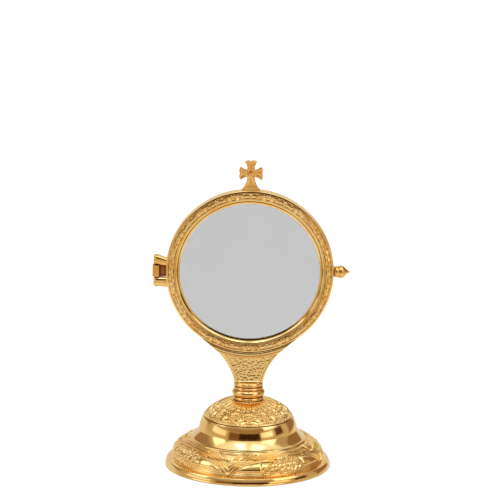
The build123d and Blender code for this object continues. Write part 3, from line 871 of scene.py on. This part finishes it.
# Right half of the cross from its top: (x, height), bow and step, from the crossing.
CROSS_LEGS = (
    ((2.95, 6.0), -0.5, 0.1), ((1.9, 1.7), 0.35, 0.2), ((5.1, 3.35), 0.25, 0.2),
    ((5.5, 0), -0.6, 0.1), ((5.1, -3.35), -0.6, 0.1), ((1.9, -1.7), 0.25, 0.2),
    ((3.35, -6.85), 0.4, 0.2), ((CROSS_FOOT_X, -8.0), 0.15, 0.1),
)
CROSS_TOP = (0, 6.2)


def loop_gap(x, z, loop):
    """Distance from points to a closed loop (negative outside), and its nearest points."""
    best = np.full(x.shape, np.inf)
    near = np.zeros(x.shape + (2,))
    inside = np.zeros(x.shape, bool)
    for start, step in zip(loop, np.roll(loop, -1, 0) - loop):
        share = risen((x - start[0]) * step[0] + (z - start[1]) * step[1], step @ step)
        px, pz = start[0] + share * step[0], start[1] + share * step[1]
        far = (x - px) ** 2 + (z - pz) ** 2
        closer = far < best
        best = np.where(closer, far, best)
        near[closer] = np.stack([px, pz], -1)[closer]
        spans = (start[1] > z) != (start[1] + step[1] > z)
        if spans.any():
            inside ^= spans & (x < start[0] + (z - start[1]) / step[1] * step[0])
    gap = np.sqrt(best)
    return np.where(inside, gap, -gap), near


def plate(name, loop, cell, front, back):
    """Closed plate over an outline in (x, z); front(x, z, gap) and back(gap) give its depths."""
    low, high = loop.min(0) - cell, loop.max(0) + cell
    xs = np.arange(low[0], high[0] + cell, cell)
    zs = np.arange(low[1], high[1] + cell, cell)
    x, z = np.meshgrid(xs, zs, indexing="ij")
    middle, _ = loop_gap((x + cell / 2)[:-1, :-1], (z + cell / 2)[:-1, :-1], loop)
    kept = middle > 0
    padded = np.pad(kept, 1)
    around = padded[:-1, :-1].astype(int) + padded[1:, :-1] + padded[:-1, 1:] + padded[1:, 1:]
    _, near = loop_gap(x, z, loop)
    rim = (around > 0) & (around < 4)
    x, z = np.where(rim, near[..., 0], x), np.where(rim, near[..., 1], z)
    gap = np.where(rim, 0, np.abs(loop_gap(x, z, loop)[0]))
    used = around > 0
    count = used.sum()
    index = np.full(x.shape, -1)
    index[used] = np.arange(count)
    y0, y1 = front(x, z, gap)[used], back(gap)[used]
    points = np.r_[np.c_[x[used], y0, z[used]], np.c_[x[used], y1, z[used]]]
    i, j = np.where(kept)
    face = np.c_[index[i, j], index[i + 1, j], index[i + 1, j + 1], index[i, j + 1]]
    faces = [face, face[:, ::-1] + count]
    corners = ((0, 0), (1, 0), (1, 1), (0, 1))
    for k, (di, dj) in enumerate(((0, -1), (1, 0), (0, 1), (-1, 0))):
        p, q = corners[k], corners[(k + 1) % 4]
        bare = ~padded[i + 1 + di, j + 1 + dj]
        a = index[i[bare] + p[0], j[bare] + p[1]]
        b = index[i[bare] + q[0], j[bare] + q[1]]
        faces.append(np.c_[b, a, a + count, b + count])
    return mesh_object(name, points * MM, np.vstack(faces))


def cross_piece(material):
    """Cross finial: dished, flared arms with rounded rims on a small moulded base."""
    low, high = box_mm("cross")
    middle_z = high[2] - CROSS_DROP
    seat = sqrt(CROSS_SEAT_R**2 - CROSS_FOOT_X**2) + RING_Z - middle_z
    seat_top = (0, CROSS_SEAT_R + RING_Z - middle_z)
    seat_legs = (((CROSS_FOOT_X, seat), 0, 0.3), (seat_top, 0.06, 0.3))
    right, here = [], CROSS_TOP
    for end, sagitta, step in CROSS_LEGS + seat_legs:
        right.append(arc_points(here, end, sagitta, step)[:-1])
        here = end
    right = np.vstack(right + [[here]])
    left = right[::-1][1:-1] * (-1, 1)
    loop = np.vstack([right, left]) + (0, middle_z)

    def front(x, z, gap):
        h = z - middle_z
        rim = FRONT_ROUND * (1 - rounded(gap / FRONT_ROUND))
        hub = risen(np.hypot(x, h + HUB_DROP) - HUB_R, HUB_RUN)
        dish = DISH_DEPTH * eased((gap - DISH_FROM) / DISH_RUN) * hub
        ribs = RIB_DEPTH * np.cos(RIB_COUNT * np.arctan2(x, h)) * np.clip(gap, 0, 1)
        groove = sum(deep * ridge(h - place, half) for place, half, deep in GROOVES)
        return low[1] + rim + (dish + ribs) * (h > -FOOT_LINE) + GROOVE_DEPTH * groove

    def back(gap):
        return high[1] - BACK_ROUND * (1 - rounded(gap / BACK_ROUND))

    stand_in(plate("cross_pattee", loop, CROSS_CELL, front, back), "cross", material)


# ---- Materials ----
# Bright and deep shade of each gold.
WARM = ((1.0, 0.67, 0.245, 1.0), (0.93, 0.55, 0.155, 1.0))
AMBER = ((0.96, 0.585, 0.19, 1.0), (0.87, 0.475, 0.12, 1.0))
RUDDY = ((0.93, 0.5, 0.145, 1.0), (0.82, 0.39, 0.09, 1.0))
# Painted shade: maroon mixed into the gold where walls close in, standing in for dark
# inter-reflections in crevices.
GOLD_CREVICE_SHADE = (0.24, 0.045, 0.012, 1.0)
WHITE = (1.0, 1.0, 1.0, 1.0)
CLOUD_SCALE, CLOUD_RANGE = 70.0, (0.35, 0.65)
FINE_GRAIN, COARSE_GRAIN = 900.0, 500.0
GRAIN_RANGE, GRAIN_DEPTH, GRAIN_STRENGTH = (0.3, 0.7), 0.0002, 0.06
ROUGH_LEAST, ROUGH_MOST = 0.75, 1.25  # as shares of the mean roughness
CAVITY_SAMPLES = 8
STEEL_SHADE, STEEL_ROUGH, STEEL_STRENGTH = (0.5, 0.62), (0.25, 0.4), 0.1
WIDE_RANGE = (0.2, 0.8)
FILM_SCALE, PANE_ROUGH = 35.0, (0.02, 0.04)
PANE_TINT = (0.829, 0.835)  # transmission at each surface, which a ray crosses four times
PANE_IOR = 1.2


class Nodes:
    """Adds and joins shader nodes, whose kinds go without their ShaderNode prefix."""

    def __init__(self, tree):
        self.tree = tree
        tree.nodes.clear()

    def add(self, kind, **values):
        node = self.tree.nodes.new("ShaderNode" + kind)
        for key, value in values.items():
            if key in node.inputs:
                self.feed(node.inputs[key], value)
            else:
                setattr(node, key, value)
        return node

    def feed(self, socket, value):
        if isinstance(value, bpy.types.NodeSocket):
            self.tree.links.new(value, socket)
        else:
            socket.default_value = value

    def fill(self, node, *values):
        """Feeds a node's first sockets in order."""
        for socket, value in zip(node.inputs, values):
            self.feed(socket, value)
        return node

    def math(self, operation, *values):
        return self.fill(self.add("Math", operation=operation), *values).outputs[0]

    def mix(self, share, first, second, blend_type="MIX"):
        """Mixed colour; the Mix node keeps its colour sockets at places 6 and 7, and 2."""
        node = self.add("Mix", data_type="RGBA", blend_type=blend_type, Factor=share)
        self.feed(node.inputs[6], first)
        self.feed(node.inputs[7], second)
        return node.outputs[2]

    def mix_shaders(self, share, first, second):
        node = self.add("MixShader")
        return self.fill(node, share, first.outputs[0], second.outputs[0])

    def ramp(self, value, low, high, to_low=0.0, to_high=1.0):
        node = self.add("MapRange", interpolation_type="SMOOTHSTEP")
        return self.fill(node, value, low, high, to_low, to_high).outputs[0]

    def noise(self, scale, detail):
        where = self.add("TexCoord").outputs["Object"]
        node = self.add("TexNoise", Vector=where, Scale=scale, Detail=detail)
        return node.outputs["Fac"]

    def grey(self, value):
        return self.add("CombineColor", Red=value, Green=value, Blue=value).outputs[0]

    def surface(self, shader, kind="OutputMaterial"):
        self.feed(self.add(kind).inputs["Surface"], shader.outputs[0])


def node_material(name):
    """Empty node material and its node helper."""
    material = bpy.data.materials.new(name)
    material.use_nodes = True
    return material, Nodes(material.node_tree)


def metal_surface(n, colour, rough, grain, strength):
    """Metal with a fine grain in its surface."""
    bump = n.add("Bump", Strength=strength, Distance=GRAIN_DEPTH, Height=grain)
    looks = {"Base Color": colour, "Roughness": rough, "Normal": bump.outputs[0]}
    n.surface(n.add("BsdfPrincipled", Metallic=1.0, **looks))


def gold(name, colours, roughness, grain, crevice_shade=0.9, reach=0.0011, shut=(0.2, 0.7)):
    """Gilt metal that drifts between two golds, with polishing marks and painted maroon shade in
    its crevices.

    Of the arguments with defaults, the first is the share of painted maroon shade in a closed
    crevice, reach how far off walls count (in metres), and shut the openness over which that
    painted shade fades."""
    material, n = node_material(name)
    mix = n.mix(n.ramp(n.noise(CLOUD_SCALE, 3.0), *CLOUD_RANGE), *colours)
    # Painted shade: the base colour turns maroon where ambient occlusion finds nearby walls.
    walls = n.add("AmbientOcclusion", samples=CAVITY_SAMPLES, Distance=reach)
    colour = n.mix(n.ramp(walls.outputs["AO"], *shut, crevice_shade, 0.0), mix, GOLD_CREVICE_SHADE)
    fine = n.noise(grain, 4.0)
    rough = n.ramp(fine, *GRAIN_RANGE, roughness * ROUGH_LEAST, roughness * ROUGH_MOST)
    metal_surface(n, colour, rough, fine, GRAIN_STRENGTH)
    return material


def glass(name):
    """Thin clear pane: slightly grey in transmission, with a weak sharp reflection."""
    material, n = node_material(name)
    film = n.noise(FILM_SCALE, 2.0)
    tint = n.grey(n.ramp(film, *WIDE_RANGE, *PANE_TINT))
    clear = n.add("BsdfTransparent", Color=tint)
    sheen = n.add("BsdfGlossy", Roughness=n.ramp(film, *GRAIN_RANGE, *PANE_ROUGH))
    weight = n.add("Fresnel", IOR=PANE_IOR).outputs[0]
    n.surface(n.mix_shaders(weight, clear, sheen))
    return material


def steel(name):
    """Plated steel with turning marks."""
    material, n = node_material(name)
    fine = n.noise(FINE_GRAIN, 3.0)
    shade = n.grey(n.ramp(fine, *WIDE_RANGE, *STEEL_SHADE))
    metal_surface(n, shade, n.ramp(fine, *GRAIN_RANGE, *STEEL_ROUGH), fine, STEEL_STRENGTH)
    return material


# ---- Studio ----
# Brightness of the room below, at and above the horizon, in degrees of elevation.
GROUND_LEVEL, HORIZON_LEVEL = 0.92, 0.62
GROUND_FADE = (-21.0, -17.0)
STUDIO_LEVELS = ((0, 22, 0.56), (22, 50, 0.48), (50, 84, 1.05), (84, 100, 0.5))
REAR_LEVEL, REAR_FADE = 0.78, (110.0, 130.0)
# Soft boxes and dark flags: azimuths, elevations, brightness.
STUDIO_PATCHES = (
    ((-52, 52), (22, 32), 0.36), ((-46, -22), (-2, 20), 0.2), ((-22, 30), (-1, 20), 0.04),
    ((-94, -54), (6, 20), 1.15), ((32, 62), (6, 20), 1.35), ((70, 92), (4, 22), 0.1),
    ((-98, -66), (28, 50), 1.7), ((42, 80), (26, 54), 1.7), ((-82, -52), (-12, -4), 1.5),
    ((25, 52), (-12, -4), 1.5), ((-14, 14), (-14, -2), 0.8), ((-40, -8), (58, 74), 3.0),
    ((15, 60), (60, 76), 2.4), ((-150, -110), (10, 60), 0.35), ((112, 150), (-4, 40), 0.3),
)
PATCH_SOFT_TURN, PATCH_SOFT_RISE = 3.0, 2.5
# Colour at each scaled brightness.
TINT_SCALE = 0.5
STUDIO_TINTS = (
    (0, (1.0, 0.4, 0.25)), (0.06, (1.0, 0.5, 0.32)), (0.25, (1.0, 0.86, 0.68)),
    (0.38, (1.0, 0.98, 0.92)), (0.6, (0.98, 1.0, 1.1)),
)
CEILING_TINT, CEILING_FADE = (0.97, 1.13, 1.36, 1.0), (20.0, 45.0)
FLOOR_SIZE, FLOOR_DROP, FLOOR_SCALE, FLOOR_TONE = 4.0, 0.00005, 3.0, (0.88, 0.9)
LAMP_SIZE, LAMP_POWER, LAMP_PLACE = 1.6, 12.0, (0, -0.2, 1.5)
CAMERA_RISE, CAMERA_ROLL = radians(15.6), radians(0.7)
CAMERA_DISTANCE, FRAME_WIDTH = 10.0, 0.25
CAMERA_AIM = (-0.00006, 0.0, 0.1112)


def studio_world():
    """White room; reflections see soft boxes, flags and a lit ceiling instead."""
    world = bpy.data.worlds.new("studio")
    bpy.context.scene.world = world
    world.use_nodes = True
    n = Nodes(world.node_tree)
    direction = n.add("TexCoord").outputs["Generated"]
    x, y, z = n.add("SeparateXYZ", Vector=direction).outputs
    turn = n.math("DEGREES", n.math("ARCTAN2", x, n.math("MULTIPLY", y, -1.0)))
    rise = n.math("DEGREES", n.math("ARCSINE", z))

    def between(value, low, high, soft):
        up = n.ramp(value, low - soft, low + soft)
        down = n.ramp(value, high - soft, high + soft, 1.0, 0.0)
        return n.math("MULTIPLY", up, down)

    def blend(under, over, mask):
        gap = n.math("SUBTRACT", over, under)
        return n.math("ADD", under, n.math("MULTIPLY", gap, mask))

    level = n.ramp(rise, *GROUND_FADE, GROUND_LEVEL, HORIZON_LEVEL)
    for low, high, value in STUDIO_LEVELS:
        level = blend(level, value, between(rise, low, high, PATCH_SOFT_RISE))
    level = blend(level, REAR_LEVEL, n.ramp(n.math("ABSOLUTE", turn), *REAR_FADE))
    for sideways, upward, value in STUDIO_PATCHES:
        across = between(turn, *sideways, PATCH_SOFT_TURN)
        upright = between(rise, *upward, PATCH_SOFT_RISE)
        level = blend(level, value, n.math("MULTIPLY", across, upright))
    tint = n.add("ValToRGB", Fac=n.math("MULTIPLY", level, TINT_SCALE))
    stops = tint.color_ramp.elements
    for place, shade in STUDIO_TINTS:
        stop = stops[0] if place == 0 else stops.new(place)
        stop.position, stop.color = place, (*shade, 1.0)
    stops.remove(stops[-1])
    cool = n.mix(n.ramp(rise, *CEILING_FADE), WHITE, CEILING_TINT)
    colour = n.mix(1.0, tint.outputs[0], cool, "MULTIPLY")
    tent = n.add("Background", Color=colour, Strength=level)
    plain = n.add("Background", Color=WHITE, Strength=1.0)
    glossy = n.add("LightPath").outputs["Is Glossy Ray"]
    n.surface(n.mix_shaders(glossy, plain, tent), "OutputWorld")


def floor():
    """Plain pale floor."""
    mesh = bpy.data.meshes.new("floor")
    far = FLOOR_SIZE
    corners = [(-far, -far, 0), (far, -far, 0), (far, far, 0), (-far, far, 0)]
    mesh.from_pydata(corners, [], [(0, 1, 2, 3)])
    plane = placed("floor", mesh)
    plane.location.z = -FLOOR_DROP
    plane.visible_glossy = False
    material, n = node_material("pale_floor")
    tone = n.grey(n.ramp(n.noise(FLOOR_SCALE, 2.0), *GRAIN_RANGE, *FLOOR_TONE))
    n.surface(n.add("BsdfDiffuse", Color=tone))
    mesh.materials.append(material)


def lights():
    """One wide lamp overhead that lights the floor evenly."""
    data = bpy.data.lights.new("overhead", "AREA")
    data.shape = "DISK"
    data.size = LAMP_SIZE
    data.energy = LAMP_POWER
    lamp = placed("overhead", data)
    lamp.location = LAMP_PLACE
    lamp.visible_glossy = False


def camera():
    """Very long lens, a little above the object and turned by under a degree."""
    right = Vector((1, 0, 0))
    up = Vector((0, sin(CAMERA_RISE), cos(CAMERA_RISE)))
    back = right.cross(up)
    cam_right = right * cos(CAMERA_ROLL) + up * sin(CAMERA_ROLL)
    cam_up = up * cos(CAMERA_ROLL) - right * sin(CAMERA_ROLL)
    data = bpy.data.cameras.new("camera")
    data.lens = data.sensor_width * CAMERA_DISTANCE / FRAME_WIDTH
    data.clip_end = 5 * CAMERA_DISTANCE
    cam = placed("camera", data)
    rotation = Matrix((cam_right, cam_up, back)).transposed()
    place = Matrix.Translation(Vector(CAMERA_AIM) + back * CAMERA_DISTANCE)
    cam.matrix_world = place @ rotation.to_4x4()
    bpy.context.scene.camera = cam


# ---- Assembly ----
# Every gold paints maroon shade into its crevices: lightly on the stippled panel, strongly on the
# border, the turned beads and the cross.
chased = gold("gilt_chased", WARM, 0.1, FINE_GRAIN)
stippled = gold("gilt_stippled", (WARM[0], WARM[0]), 0.2, FINE_GRAIN, 0.3, 0.0008)
border = gold("gilt_border", WARM, 0.1, FINE_GRAIN, 0.97, 0.0014, (0.45, 0.88))
case_gold = gold("gilt_case", WARM, 0.07, COARSE_GRAIN)
polished = gold("gilt_polished", AMBER, 0.08, COARSE_GRAIN, 0.95, 0.0022)
# Painted shade: a copy of the polished gold that turns fully maroon wherever walls are near, so
# the hinge arm reads as if in shadow between the lugs.
recess_shade = gold("gilt_recess_shade", AMBER, 0.1, COARSE_GRAIN, 1.0, 0.004, (0.5, 0.98))
cross_gold = gold("gilt_cross", RUDDY, 0.16, COARSE_GRAIN, 0.9, 0.0018)
clear_glass = glass("clear_glass")
plain_steel = steel("plain_steel")

foot_piece(chased)
dome_piece(chased)
neck_pieces(polished)
stem_piece(stippled)
ring_front_piece(border)
case_pieces(case_gold)
pane("front_pane", "front_glass", clear_glass)
pane("rear_pane", "rear_glass", clear_glass)
cross_piece(cross_gold)
lug_pieces(polished)
knob_piece(polished)
# The hinge arm gets painted shade, standing in for the shadow between the lugs.
finish_node("hinge_arm", recess_shade, 0.1)
finish_node("clasp_tab", polished, 0.12)
finish_node("cross_boss", cross_gold)
for node in ("hinge_pin", "front_glass_retainer", "rear_glass_retainer"):
    finish_node(node, polished)
for node in ("tie_rod", "clamp_washer", "tie_nut"):
    finish_node(node, plain_steel)

studio_world()
floor()
lights()
camera()
bpy.context.scene.view_settings.view_transform = "Standard"
